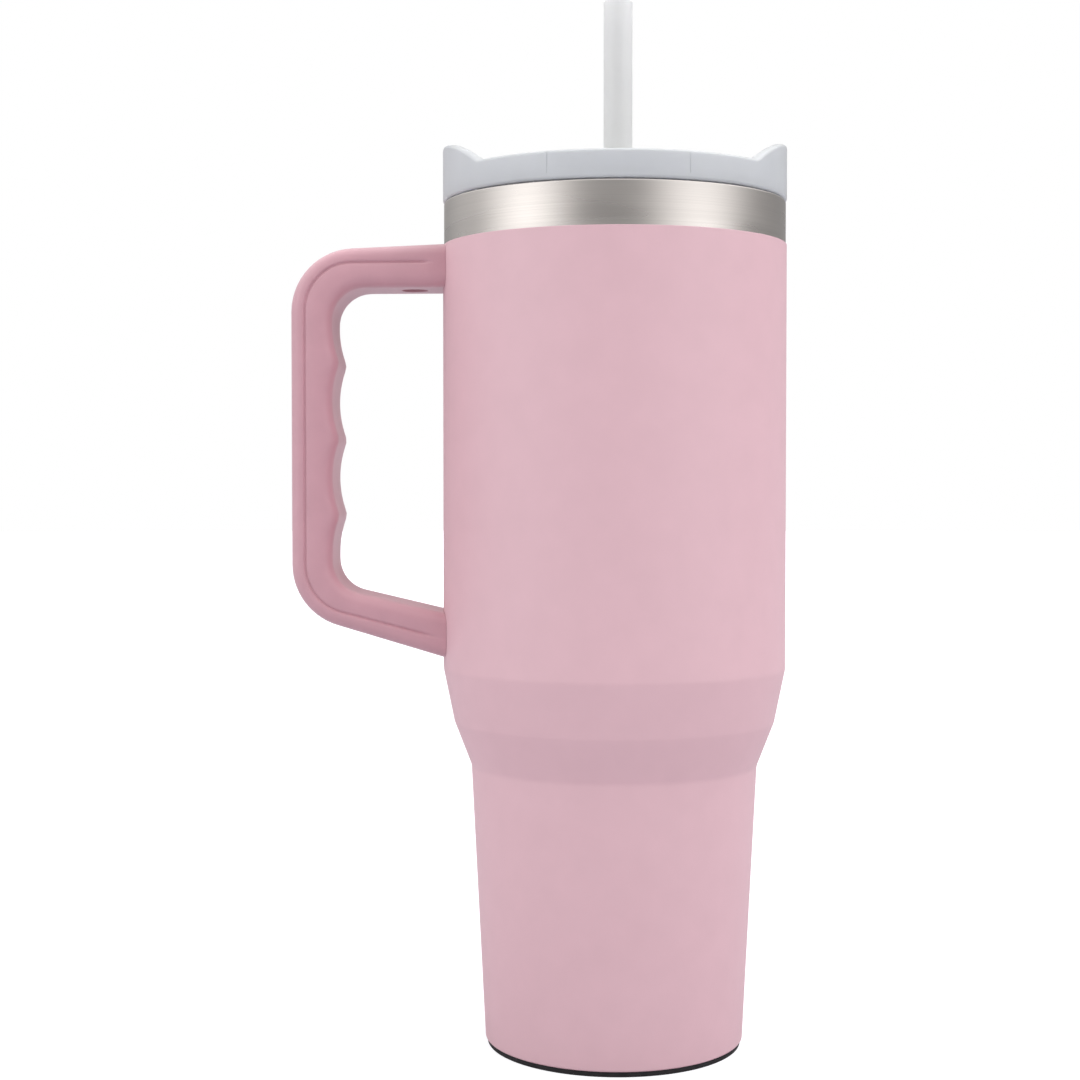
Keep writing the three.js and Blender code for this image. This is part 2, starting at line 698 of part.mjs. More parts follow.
function piece(name, geometry, material) {
  const mesh = new THREE.Mesh(geometry, material);
  mesh.name = name;
  return mesh;
}

const body = new THREE.Group().add(
  piece("powder_coat", powderCoat(), PINK_COAT),
  piece("outer_wall", outerWall(), BRUSHED_STEEL),
  piece("inner_liner", innerLiner(), BRUSHED_STEEL),
  piece("reflective_foil", reflectiveFoil(), COPPER_FOIL),
  piece("outer_base", outerBase(), BRUSHED_STEEL),
  piece("vacuum_seal", vacuumSeal(), SEALING_SOLDER),
  piece("getter_pellet", getterPellet(), GETTER_METAL),
  piece("base_cover", baseCover(), BRUSHED_STEEL),
  piece("base_pad", basePad(), BLACK_RUBBER),
);

const handle = new THREE.Group().add(
  piece("handle_cover", handleCover(), PINK_HANDLE),
  piece("handle_core", handleCore(), PINK_CORE),
  ...Object.entries(ARMS).flatMap(([place, arm]) => [
    piece(`${place}_bracket`, bracket(arm), BRUSHED_STEEL),
    piece(`${place}_screw`, handleScrew(arm), BRUSHED_STEEL),
  ]),
);

const lid = new THREE.Group().add(
  piece("lid_seal", lidSeal(), WHITE_SILICONE),
  piece("lid_body", lidBody(), CLEAR_LID),
  piece("slider", slider(), CLEAR_SLIDER),
  piece("slider_seal", sliderSeal(), WHITE_SILICONE),
  piece("straw_seal", strawSeal(), WHITE_SILICONE),
  piece("straw", straw(), STRAW_PLASTIC),
);

const tumbler = new THREE.Group().add(body, handle, lid);

export default tumbler;
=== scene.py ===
"""The looks of the insulated tumbler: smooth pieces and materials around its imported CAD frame."""

import math

import bmesh
import bpy
from mathutils import Matrix, Vector
from mathutils.geometry import tessellate_polygon


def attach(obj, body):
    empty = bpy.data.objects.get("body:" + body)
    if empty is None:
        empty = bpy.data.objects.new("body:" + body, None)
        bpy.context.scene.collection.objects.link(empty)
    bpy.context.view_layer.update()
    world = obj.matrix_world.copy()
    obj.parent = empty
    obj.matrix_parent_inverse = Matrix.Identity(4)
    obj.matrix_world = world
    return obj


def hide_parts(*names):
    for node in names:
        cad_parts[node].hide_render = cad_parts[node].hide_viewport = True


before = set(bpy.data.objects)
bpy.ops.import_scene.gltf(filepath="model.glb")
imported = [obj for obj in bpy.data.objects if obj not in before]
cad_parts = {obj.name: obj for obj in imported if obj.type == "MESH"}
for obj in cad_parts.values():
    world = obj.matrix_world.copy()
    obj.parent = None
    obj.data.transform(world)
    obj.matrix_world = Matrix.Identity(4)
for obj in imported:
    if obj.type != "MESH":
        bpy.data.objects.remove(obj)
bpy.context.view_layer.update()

MM = 0.001
AROUND = 192  # facets round the cup
AROUND_SMALL = 64  # facets round the straw and the screws


# ---------------------------------------------------------------- outlines, in millimetres


def rounded(corners, steps=5, closed=True):
    """Points along corners (x, y) or (x, y, radius), with an arc where there is a radius."""
    points = []
    count = len(corners)
    for i, (x, y, *rest) in enumerate(corners):
        radius = rest[0] if rest else 0
        if not radius or (not closed and i in (0, count - 1)):
            points.append((x, y))
            continue
        here = Vector((x, y))
        back = (Vector(corners[i - 1][:2]) - here).normalized()
        on = (Vector(corners[(i + 1) % count][:2]) - here).normalized()
        half = math.acos(max(-1, min(1, back.dot(on)))) / 2
        centre = here + (back + on).normalized() * radius / math.sin(half)
        start = here + back * radius / math.tan(half) - centre
        end = here + on * radius / math.tan(half) - centre
        turn = math.atan2(start.x * end.y - start.y * end.x, start.dot(end))
        for k in range(steps + 1):
            at = centre + Matrix.Rotation(turn * k / steps, 2) @ start
            points.append((at.x, at.y))
    return points


def offset(points, distance):
    """A closed outline moved sideways, to the left of its direction of travel."""
    moved = []
    for i, point in enumerate(points):
        here = Vector(point)
        one = (here - Vector(points[i - 1])).orthogonal().normalized()
        two = (Vector(points[(i + 1) % len(points)]) - here).orthogonal().normalized()
        mitre = one + two
        at = here + mitre * (2 * distance / mitre.length_squared)
        moved.append((at.x, at.y))
    return moved


def arc(centre, radius, start, end, steps):
    """Points of an arc between two angles in degrees."""
    angles = [math.radians(start + (end - start) * k / steps) for k in range(steps + 1)]
    return [(centre[0] + radius * math.cos(a), centre[1] + radius * math.sin(a)) for a in angles]


def circle(centre, radius, steps=AROUND_SMALL):
    return arc(centre, radius, 0, 360, steps)[:-1]


def slot_outline(length, width, y):
    straight = (length - width) / 2
    right = arc((straight, y), width / 2, -90, 90, 16)
    return right + arc((-straight, y), width / 2, 90, 270, 16)


# ---------------------------------------------------------------- meshes


def smooth(mesh, sharp):
    mesh.shade_smooth()
    mesh.set_sharp_from_angle(angle=math.radians(sharp))


def mesh_object(name, points, faces, sharp=32):
    """A closed mesh with its faces pointing out, smooth except at edges sharper than an angle."""
    mesh = bpy.data.meshes.new(name)
    mesh.from_pydata([Vector(p) * MM for p in points], [], faces)
    shape = bmesh.new()
    shape.from_mesh(mesh)
    bmesh.ops.remove_doubles(shape, verts=shape.verts, dist=1e-7)
    bmesh.ops.dissolve_degenerate(shape, edges=shape.edges, dist=1e-8)
    bmesh.ops.recalc_face_normals(shape, faces=shape.faces)
    shape.to_mesh(mesh)
    shape.free()
    smooth(mesh, sharp)
    made = bpy.data.objects.new(name, mesh)
    bpy.context.scene.collection.objects.link(made)
    return made


def lathe(name, outline, around=AROUND, move=None, sharp=32):
    """Turns a closed outline of (radius, height) round Z. move changes each finished point."""
    points, faces, rings = [], [], []
    for radius, height in outline:
        first = len(points)
        if radius < 1e-6:
            points.append((0, 0, height))
            rings.append([first] * around)
            continue
        for k in range(around):
            angle = 2 * math.pi * k / around
            point = (radius * math.cos(angle), radius * math.sin(angle), height)
            points.append(move(*point) if move else point)
        rings.append(list(range(first, first + around)))
    for i, ring in enumerate(rings):
        after = rings[(i + 1) % len(rings)]
        for k in range(around):
            n = (k + 1) % around
            face = list(dict.fromkeys((ring[k], ring[n], after[n], after[k])))
            if len(face) > 2:
                faces.append(face)
    return mesh_object(name, points, faces, sharp)


def cap(points, loops, faces):
    """Fills the flat area inside the first loop of point numbers and outside the others."""
    numbers = [i for loop in loops for i in loop]
    flat = [[Vector(points[i][:2] + (0,)) for i in loop] for loop in loops]
    faces.extend([numbers[i] for i in triangle] for triangle in tessellate_polygon(flat))


def prism(name, outline, low, high, low_edge=0.0, high_edge=0.0, pockets=(), sharp=32, steps=3):
    """A plate from an anticlockwise outline. An edge size flares that edge outwards in a quarter
    round. Each pocket is (outline, low, high): one that starts under the plate is open at the
    bottom, and one that ends over it at the top."""
    points, faces = [], []

    def ring(loop, height):
        first = len(points)
        points.extend((x, y, height) for x, y in loop)
        return list(range(first, first + len(loop)))

    def wall(rings):
        for one, two in zip(rings, rings[1:]):
            for k, number in enumerate(one):
                n = (k + 1) % len(one)
                faces.append([number, one[n], two[n], two[k]])

    def edge(size, height, sign):
        if not size:
            return [ring(outline, height)]
        turns = [math.pi / 2 * k / steps for k in range(steps + 1)]
        sizes = [(size * (1 - math.sin(t)), size * (1 - math.cos(t))) for t in turns]
        return [ring(offset(outline, -inset), height + sign * lift) for inset, lift in sizes]

    bottom, top = edge(low_edge, low, 1), edge(high_edge, high, -1)
    wall(bottom + top[::-1])
    bottoms, tops = [bottom[0]], [top[0]]
    for loop, start, end in pockets:
        rings = [ring(loop, max(start, low)), ring(loop, min(end, high))]
        wall(rings)
        (bottoms if start <= low else faces).append(rings[0])
        (tops if end >= high else faces).append(rings[1])
    cap(points, bottoms, faces)
    cap(points, tops, faces)
    return mesh_object(name, points, faces, sharp)


def carve(made, *tools, how="DIFFERENCE", sharp=32):
    """Cuts the tools out of a piece, or joins them to it, and removes them."""
    for tool in tools:
        step = made.modifiers.new(tool.name, "BOOLEAN")
        step.operation, step.solver, step.object = how, "EXACT", tool
    bpy.context.view_layer.update()
    result = made.evaluated_get(bpy.context.evaluated_depsgraph_get())
    mesh = bpy.data.meshes.new_from_object(result)
    made.modifiers.clear()
    made.data = mesh
    shape = bmesh.new()
    shape.from_mesh(mesh)
    bmesh.ops.remove_doubles(shape, verts=shape.verts, dist=2e-7)
    shape.to_mesh(mesh)
    shape.free()
    smooth(mesh, sharp)
    for tool in tools:
        bpy.data.objects.remove(tool)
    return made


def place(made, matrix):
    """Moves a piece's points, so that its object stays at the origin. The matrix is in millimetres."""
    metres = matrix.copy()
    metres.translation *= MM
    made.data.transform(metres)
    return made


# ---------------------------------------------------------------- materials


class Finish:
    """A material whose patterns lie in the object's own metres."""

    def __init__(self, name, color, roughness, metallic=0.0, **sockets):
        self.material = bpy.data.materials.new(name)
        self.material.use_nodes = True
        self.tree = self.material.node_tree
        self.shader = self.tree.nodes["Principled BSDF"]
        self.color = color
        self.shader.inputs["Base Color"].default_value = (*color, 1)
        self.shader.inputs["Roughness"].default_value = roughness
        self.shader.inputs["Metallic"].default_value = metallic
        for socket, value in sockets.items():
            self.shader.inputs[socket.replace("_", " ")].default_value = value
        self.places = self.tree.nodes.new("ShaderNodeTexCoord").outputs["Object"]
        self.bumped = None

    def node(self, kind, **settings):
        made = self.tree.nodes.new(kind)
        for key, value in settings.items():
            if key in made.inputs:
                made.inputs[key].default_value = value
            else:
                setattr(made, key, value)
        return made

    def link(self, source, target):
        self.tree.links.new(source, target)

    def noise(self, size_mm, detail=2.0, stretch=(1, 1, 1)):
        """Noise whose features are about size_mm across, before stretching."""
        mapping = self.node("ShaderNodeMapping")
        mapping.inputs["Scale"].default_value = stretch
        self.link(self.places, mapping.inputs["Vector"])
        made = self.node("ShaderNodeTexNoise", Scale=1000 / size_mm, Detail=detail)
        self.link(mapping.outputs["Vector"], made.inputs["Vector"])
        return made.outputs["Fac"]

    def between(self, value, low, high):
        """A number that runs from low to high over the middle of a noise's range."""
        made = self.node("ShaderNodeMapRange")
        ends = {"From Min": 0.3, "From Max": 0.7, "To Min": low, "To Max": high}
        for socket, number in ends.items():
            made.inputs[socket].default_value = number
        self.link(value, made.inputs["Value"])
        return made.outputs["Result"]

    def mottle(self, value, other):
        """Runs the colour towards another one with a pattern."""
        made = self.node("ShaderNodeMix", data_type="RGBA")
        made.inputs[6].default_value = (*self.color, 1)
        made.inputs[7].default_value = (*other, 1)
        self.link(self.between(value, 0, 1), made.inputs[0])
        self.link(made.outputs[2], self.shader.inputs["Base Color"])
        return self

    def rough(self, value, low, high):
        self.link(self.between(value, low, high), self.shader.inputs["Roughness"])
        return self

    def bump(self, value, depth_mm, strength=1.0):
        """Adds height on top of any bump there is already."""
        made = self.node("ShaderNodeBump", Strength=strength, Distance=depth_mm * MM)
        self.link(value, made.inputs["Height"])
        if self.bumped:
            self.link(self.bumped, made.inputs["Normal"])
        self.bumped = made.outputs["Normal"]
        self.link(self.bumped, self.shader.inputs["Normal"])
        return self

    def brushed_round(self, amount):
        """Stretches reflections across lines that run round the cup's axis."""
        self.shader.inputs["Anisotropic"].default_value = amount
        tangent = self.node("ShaderNodeTangent", direction_type="RADIAL", axis="Z")
        self.link(tangent.outputs["Tangent"], self.shader.inputs["Tangent"])


def shade(color, factor):
    return tuple(c * factor for c in color)


def powder_coat_finish():
    """Baked powder: an even, slightly pebbled skin with a soft sheen."""
    color = (0.735, 0.472, 0.518)
    made = Finish("powder_coat", color, 0.5, Specular_IOR_Level=0.6)
    fine = made.noise(0.35, detail=3)
    made.mottle(made.noise(9, detail=4), shade(color, 0.97))
    made.rough(fine, 0.46, 0.58)
    made.bump(made.noise(1.3, detail=2), 0.035, 0.35)
    return made.bump(fine, 0.03, 0.5).material


def moulded_finish(name, color, roughness):
    """Satin moulded plastic with a fine spark-eroded grain."""
    made = Finish(name, color, roughness, Specular_IOR_Level=0.65, Sheen_Weight=0.35)
    fine = made.noise(0.22, detail=3)
    made.mottle(made.noise(7, detail=3), shade(color, 0.95))
    made.rough(fine, roughness - 0.05, roughness + 0.08)
    return made.bump(fine, 0.018, 0.5).material


def steel_finish(name, roughness, brushed):
    """Stainless steel turned on a lathe: fine lines that run round the cup."""
    color = (0.565, 0.53, 0.505)
    made = Finish(name, color, roughness, 1.0)
    lines = made.noise(1.0, detail=4, stretch=(0.012, 0.012, 7.0))
    broad = made.noise(14, detail=2, stretch=(0.3, 0.3, 1.5))
    made.mottle(lines, shade(color, 0.91))
    made.rough(broad, roughness - 0.04, roughness + 0.06)
    made.bump(lines, 0.012, 0.22 if brushed else 0.1)
    if brushed:
        made.brushed_round(0.55)
    return made.material


def cloudy_finish(name, color, roughness, clear, glow):
    """Cloudy food-grade plastic: light soaks in a little and comes out soft."""
    made = Finish(
        name,
        color,
        roughness,
        IOR=1.49,
        Transmission_Weight=clear,
        Subsurface_Weight=glow,
        Subsurface_Scale=0.004,
    )
    made.shader.inputs["Subsurface Radius"].default_value = (1.0, 1.0, 1.1)
    fine = made.noise(0.3, detail=2)
    made.mottle(made.noise(11, detail=3), shade(color, 0.96))
    made.rough(fine, roughness - 0.04, roughness + 0.06)
    return made.bump(fine, 0.01, 0.3).material


def silicone_finish():
    color = (0.78, 0.77, 0.74)
    made = Finish("silicone", color, 0.55, Subsurface_Weight=0.25, Subsurface_Scale=0.003)
    made.mottle(made.noise(5, detail=2), shade(color, 0.95))
    return made.bump(made.noise(0.25, detail=2), 0.01, 0.4).material


def rubber_finish():
    """Matt black rubber with a fine pebbled face."""
    color = (0.012, 0.011, 0.012)
    made = Finish("rubber", color, 0.7, Specular_IOR_Level=0.35)
    made.mottle(made.noise(3, detail=3), shade(color, 1.8))
    return made.bump(made.noise(0.5, detail=2), 0.06, 0.7).material


def plain_finish(name, color, roughness, metallic, grain_mm):
    """Small hidden pieces: a colour with some unevenness and a fine grain."""
    made = Finish(name, color, roughness, metallic)
    made.mottle(made.noise(grain_mm * 4, detail=3), shade(color, 0.85))
    return made.bump(made.noise(grain_mm, detail=3), 0.04, 0.6).material


COAT = powder_coat_finish()
HANDLE = moulded_finish("handle_plastic", (0.60, 0.32, 0.37), 0.42)
CORE = moulded_finish("core_plastic", (0.50, 0.25, 0.29), 0.5)
STEEL = steel_finish("brushed_steel", 0.27, brushed=True)
PLAIN_STEEL = steel_finish("plain_steel", 0.33, brushed=False)
LID = cloudy_finish("lid_plastic", (0.717, 0.733, 0.75), 0.36, 0.28, 0.35)
SLIDER = cloudy_finish("slider_plastic", (0.78, 0.80, 0.83), 0.30, 0.25, 0.35)
STRAW = cloudy_finish("straw_plastic", (0.84, 0.84, 0.84), 0.42, 0.12, 0.40)
SILICONE = silicone_finish()
RUBBER = rubber_finish()
FOIL = plain_finish("copper_foil", (0.72, 0.42, 0.28), 0.25, 1.0, 0.8)
GLASS = plain_finish("sealing_glass", (0.03, 0.03, 0.035), 0.2, 0.0, 0.5)
GETTER = plain_finish("getter_metal", (0.18, 0.18, 0.19), 0.7, 0.6, 0.2)


def keep(made, node, body, material):
    """Gives a piece its material, hides the CAD piece that it stands for, and hangs it on what it rides on.
    """
    made.data.materials.clear()
    made.data.materials.append(material)
    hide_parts(node)
    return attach(made, body)


def keep_cad(node, material):
    """Shows a CAD piece as it is, with a material."""
    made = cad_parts[node]
    made.data.materials.clear()
    made.data.materials.append(material)


# ---------------------------------------------------------------- body

# The coat's outer surface: its foot, waist, knee and shoulder, and the top edge of the colour.
COAT_BOTTOM, COAT_TOP, RIM_TOP = 1.5, 228.4, 240.5
BODY = 49.0
FOOT, WAIST, KNEE, SHOULDER = (37.0, COAT_BOTTOM), (41.0, 80.3), (45.9, 92.9), (BODY, 108.1)
BEND = 5.0  # radius that softens the waist, knee and shoulder
COAT_DEPTH, WALL_DEPTH, STEEL_DEPTH, VACUUM_DEPTH = 0.25, 0.3, 0.5, 2.4
LINER_DEPTH = WALL_DEPTH + STEEL_DEPTH + VACUUM_DEPTH
CUP_FLOOR = 11.4
LIP, WELD = 46.7, 0.15  # where the wall and the liner meet at the rim, and the gap that stands for the weld
HEM = 34.3  # inner edge of the wall's turned-in foot
COAT_HEM = 34.6
FOIL_IN, FOIL_OUT, FOIL_BOTTOM, FOIL_TOP = 46.3, 46.6, 112.1, 224.4
DISC_EDGE = 35.4
PELLET_X = 18.0


def wall_line(depth, top, floor=None):
    """Corners of a line at a depth under the coat's surface, from its foot or a floor to a height."""
    line = [(0.0, FOOT[1]), FOOT, WAIST, KNEE, SHOULDER, (BODY, 400)]
    moved = []
    for i in range(1, len(line) - 1):
        before, here, after = (Vector(p) for p in line[i - 1 : i + 2])
        one = Vector((before.y - here.y, here.x - before.x)).normalized()
        two = Vector((here.y - after.y, after.x - here.x)).normalized()
        mitre = one + two
        moved.append(here + mitre * (2 * depth / mitre.length_squared))
    foot, waist, knee, shoulder = moved
    if floor is not None:
        foot = foot + (waist - foot) * ((floor - foot.y) / (waist.y - foot.y))
    return [
        (foot.x, foot.y, max(0.6 - depth, 0)),
        (waist.x, waist.y, BEND + depth),
        (knee.x, knee.y, BEND + 3),
        (shoulder.x, shoulder.y, BEND + 3),
        (BODY - depth, top),
    ]


# Where each arm of the handle meets the wall, and its slope in degrees.
ARMS = {"upper": (222.3, -1.4), "lower": (118.05, 14.9)}
SCREW_REACH, SCREW_SEAT = 8.3, 2.6


def arm_frame(arm):
    """A place whose own X runs along an arm of the handle, away from the wall."""
    height, slope = ARMS[arm]
    slope = math.radians(slope)
    along = Vector((-math.cos(slope), 0, math.sin(slope)))
    across = Vector((0, -1, 0))
    turn = Matrix((along, across, along.cross(across))).transposed()
    return Matrix.Translation((-BODY, 0, height)) @ turn.to_4x4()


def box_outline(x0, y0, x1, y1):
    return [(x0, y0), (x1, y0), (x1, y1), (x0, y1)]


def build_coat():
    outside = rounded([(COAT_HEM, COAT_BOTTOM), *wall_line(0, COAT_TOP)], closed=False)
    back = [(COAT_HEM, COAT_BOTTOM + COAT_DEPTH), *wall_line(COAT_DEPTH, COAT_TOP)]
    inside = rounded(back, closed=False)
    edge = [(BODY - 0.06, COAT_TOP), (BODY, COAT_TOP - 0.08)]
    made = lathe("coat", outside[:-1] + edge[::-1] + inside[::-1])
    windows = []
    for arm in ARMS:
        window = prism(f"window_{arm}", box_outline(-6, -8, 6, 8), -3, 3)
        windows.append(place(window, arm_frame(arm)))
    carve(made, *windows)
    keep(made, "powder_coat", "tumbler", COAT)


def build_wall():
    outside = wall_line(WALL_DEPTH, RIM_TOP)
    inside = wall_line(WALL_DEPTH + STEEL_DEPTH, RIM_TOP - STEEL_DEPTH)
    outside[-1] += (0.6,)
    inside[-1] += (0.2,)
    lip = LIP + WELD / 2
    outline = [
        (HEM, COAT_BOTTOM + WALL_DEPTH),
        *outside,
        (lip, RIM_TOP, 0.1),
        (lip, RIM_TOP - STEEL_DEPTH),
        *inside[::-1],
        (HEM, COAT_BOTTOM + WALL_DEPTH + STEEL_DEPTH),
    ]
    keep(lathe("wall", rounded(outline)), "outer_wall", "tumbler", STEEL)


def build_liner():
    inside = wall_line(LINER_DEPTH + STEEL_DEPTH, RIM_TOP, CUP_FLOOR)
    outside = wall_line(LINER_DEPTH, RIM_TOP - STEEL_DEPTH, CUP_FLOOR - STEEL_DEPTH)
    inside[0] = (*inside[0][:2], 7)
    outside[0] = (*outside[0][:2], 7.4)
    inside[-1] += (1.2,)
    outside[-1] += (0.6,)
    lip = LIP - WELD / 2
    outline = [
        (0, CUP_FLOOR),
        *inside,
        (lip, RIM_TOP, 0.1),
        (lip, RIM_TOP - STEEL_DEPTH),
        *outside[::-1],
        (0, CUP_FLOOR - STEEL_DEPTH),
    ]
    keep(lathe("liner", rounded(outline)), "inner_liner", "tumbler", STEEL)


def build_base():
    foil = box_outline(FOIL_IN, FOIL_BOTTOM, FOIL_OUT, FOIL_TOP)
    keep(lathe("foil", foil), "reflective_foil", "tumbler", FOIL)
    under = [
        (1.0, 4.4),
        (4.5, 4.4, 0.8),
        (6.0, 5.6, 0.8),
        (29.0, 5.6, 1.5),
        (31.5, 2.45, 1.2),
        (DISC_EDGE, 2.45),
    ]
    over = [
        (1.0, 4.9),
        (4.25, 4.9, 0.6),
        (5.75, 6.1, 1.0),
        (29.25, 6.1, 1.8),
        (31.75, 2.95, 0.8),
        (DISC_EDGE, 2.95),
    ]
    disc = rounded(under, closed=False) + rounded(over, closed=False)[::-1]
    keep(lathe("base_disc", disc), "outer_base", "tumbler", PLAIN_STEEL)
    drop = rounded([(0, 3.25), (2.4, 3.45, 0.4), (3.0, 4.2, 0.3), (0, 4.25)], closed=False)
    keep(lathe("seal_drop", drop, AROUND_SMALL), "vacuum_seal", "tumbler", GLASS)
    tablet = rounded([(0, 6.25), (4, 6.25, 0.5), (4, 8.45, 0.5), (0, 8.45)], closed=False)
    pellet = place(lathe("pellet", tablet, 48), Matrix.Translation((PELLET_X, 0, 0)))
    keep(pellet, "getter_pellet", "tumbler", GETTER)
    plate = rounded([(0, 1.7), (34, 1.7, 0.2), (34, 2.3, 0.2), (0, 2.3)], closed=False)
    keep(lathe("base_plate", plate), "base_cover", "tumbler", PLAIN_STEEL)
    pad = rounded(
        [
            (0, 0),
            (12, 0, 0.3),
            (12.6, 0.5, 0.3),
            (25.4, 0.5, 0.3),
            (26, 0, 0.3),
            (36.4, 0, 0.3),
            (36.4, 1.35, 0.2),
            (0, 1.35),
        ],
        closed=False,
    )
    keep(lathe("pad", pad), "base_pad", "tumbler", RUBBER)


# ---------------------------------------------------------------- handle

HANDLE_BACK, HANDLE_GRIP, HANDLE_HALF = -91.5, -79.9, 12.0
OUTSIDE = [(-40, 228.8), (HANDLE_BACK, 226.45, 18), (HANDLE_BACK, 124.45, 18), (-40, 109.1)]
INSIDE = [(-40, 216.25), (HANDLE_GRIP, 216.1, 9.5), (HANDLE_GRIP, 131.6, 9.5), (-40, 122.2)]
RIDGES = [151.8, 173.4, 195.0]
SCALLOP = 28.5  # radius of the hollows between the ridges
SKIN, CORE_HALF = 2.25, 8.65
GROOVE_INSET, GROOVE_WIDTH, GROOVE_DEPTH, GROOVE_END = 4.1, 1.3, 0.55, 53.0
GROOVE_DRIFT = 0.036  # how much further from the back the groove lies per mm along the arms
ARM_START = -80.0  # where the grip's corners end and the straight arms begin
ROOT = -50.5  # the last cross-section before the wall
TOUCH = 0.04  # the gap between the handle and the wall


def stand_out(height):
    """How far the finger ridges stand out of the hand side at a height."""
    pitch = RIDGES[1] - RIDGES[0]
    first, last = RIDGES[0] - pitch / 2, RIDGES[-1] + pitch / 2
    if not first < height < last:
        return 0.0
    from_hollow = (height - first + pitch / 2) % pitch - pitch / 2
    deep = [SCALLOP - math.sqrt(SCALLOP**2 - d * d) for d in (from_hollow, pitch - abs(from_hollow))]
    soft = 0.9
    blend = max(soft - abs(deep[0] - deep[1]), 0) / soft
    return min(deep) - blend * blend * soft / 4


def crossing(start, direction, line):
    """How far along a direction a point first meets a line of points."""
    nearest = math.inf
    for one, two in zip(line, line[1:]):
        side = Vector(two) - Vector(one)
        gap = Vector(one) - start
        across = direction.x * side.y - direction.y * side.x
        if abs(across) < 1e-9:
            continue
        along = (gap.x * side.y - gap.y * side.x) / across
        share = (gap.x * direction.y - gap.y * direction.x) / across
        if -1e-6 <= share <= 1 + 1e-6 and 0 < along < nearest:
            nearest = along
    return nearest


def dense(points, step):
    """The same line with a point at least every step."""
    made = []
    for one, two in zip(points, points[1:]):
        one, two = Vector(one), Vector(two)
        parts = max(1, math.ceil((two - one).length / step))
        made.extend(one.lerp(two, k / parts) for k in range(parts))
    return [*made, Vector(points[-1])]


def section(thickness, groove, inset):
    """The handle's cross-section as (distance in from the back, distance across), one side."""
    half = HANDLE_HALF
    back = arc((3.2, half - 3.2), 3.2, 180, 90, 7)
    cut = [(k / 8, groove * (1 - math.cos(2 * math.pi * k / 8)) / 2) for k in range(9)]
    line = [(inset + GROOVE_WIDTH * (k - 0.5), half - GROOVE_DEPTH * deep) for k, deep in cut]
    bend = min(3.4, thickness - inset - 0.9)
    front = arc((thickness - bend, half - bend), bend, 90, 0, 9)
    return [(0, 4.0), *back, *line, *front, (thickness, 3.0)]


def onto_wall(point, before, radius):
    """Moves a point along its arm until it lies on the wall's cylinder."""
    step = point - before
    a = step.x**2 + step.y**2
    b = 2 * (before.x * step.x + before.y * step.y)
    c = before.x**2 + before.y**2 - radius**2
    share = (-b - math.sqrt(max(b * b - 4 * a * c, 0))) / (2 * a)
    return before + step * share


def across(point, inward, depth, y):
    """A point of the handle's cross-section at a station of its back."""
    return Vector((point.x + inward.x * depth, y, point.y + inward.y * depth))


def handle_rings():
    """Rings of points along the handle: the cover's outside, and the tunnel that holds its core."""
    back_line = dense(rounded(OUTSIDE, steps=14, closed=False), 1.6)
    plain = rounded(INSIDE, steps=14, closed=False)
    ridged = []
    for point in dense(plain, 0.8):
        raised = stand_out(point.y) if point.x < HANDLE_GRIP + 1 else 0
        ridged.append(Vector((point.x + raised, point.y)))
    plain = [Vector(p) for p in plain]
    stations = [p for p in back_line if p.x < ROOT]
    outer, tunnel, ways = [], [], []
    for i, point in enumerate(stations):
        before, after = stations[max(i - 1, 0)], stations[min(i + 1, len(stations) - 1)]
        along = (after - before).normalized()
        inward = Vector((-along.y, along.x))
        thick = crossing(point, inward, ridged)
        core_far = crossing(point, inward, plain) - SKIN
        groove = min(max((-GROOVE_END - point.x) / 0.8, 0), 1)
        inset = GROOVE_INSET + max(point.x - ARM_START, 0) * GROOVE_DRIFT
        one_side = section(thick, groove, inset)
        both = [(d, y) for d, y in one_side] + [(d, -y) for d, y in reversed(one_side)]
        outer.append([across(point, inward, d, y) for d, y in both])
        held = [(min(max(d, SKIN), core_far), max(-CORE_HALF, min(CORE_HALF, y))) for d, y in both]
        tunnel.append([across(point, inward, d, y) for d, y in held])
        ways.append(Vector((along.x, 0, along.y)))
    for rings in (outer, tunnel):
        rings.insert(0, [onto_wall(p, p + ways[0], BODY + TOUCH) for p in rings[0]])
        rings.append([onto_wall(p, p - ways[-1], BODY + TOUCH) for p in rings[-1]])
    return outer, tunnel


def build_handle():
    outer, tunnel = handle_rings()
    rings = outer + tunnel[::-1]
    size = len(rings[0])
    points = [p for ring in rings for p in ring]
    faces = []
    for i in range(len(rings)):
        here, there = i * size, (i + 1) % len(rings) * size
        for k in range(size):
            n = (k + 1) % size
            faces.append([here + k, here + n, there + n, there + k])
    made = mesh_object("handle_grip", points, faces, 40)
    recesses = []
    for arm in ARMS:
        tool = prism(f"recess_{arm}", circle((SCREW_REACH, 0), 3.8), -9, 0)
        recesses.append(place(tool, arm_frame(arm)))
    carve(made, *recesses, sharp=40)
    keep(made, "handle_cover", "tumbler", HANDLE)
    keep_cad("handle_core", CORE)
    for arm in ARMS:
        keep_cad(f"{arm}_bracket", PLAIN_STEEL)
        build_screw(arm)


def build_screw(arm):
    seat = -SCREW_SEAT - 0.15
    bottom, tip = seat - 1.9, seat + 4.8
    outline = rounded(
        [
            (0, bottom),
            (3.5, bottom, 0.8),
            (3.5, seat, 0.15),
            (1.9, seat),
            (1.9, tip - 0.5),
            (1.4, tip),
            (0, tip),
        ],
        closed=False,
    )
    made = lathe(f"screw_{arm}", outline, AROUND_SMALL)
    socket = prism(f"socket_{arm}", circle((0, 0), 1.6, 6), bottom - 1, bottom + 1.2)
    carve(made, socket)
    place(made, arm_frame(arm) @ Matrix.Translation((SCREW_REACH, 0, 0)))
    keep(made, f"{arm}_screw", "tumbler", PLAIN_STEEL)


# ---------------------------------------------------------------- lid

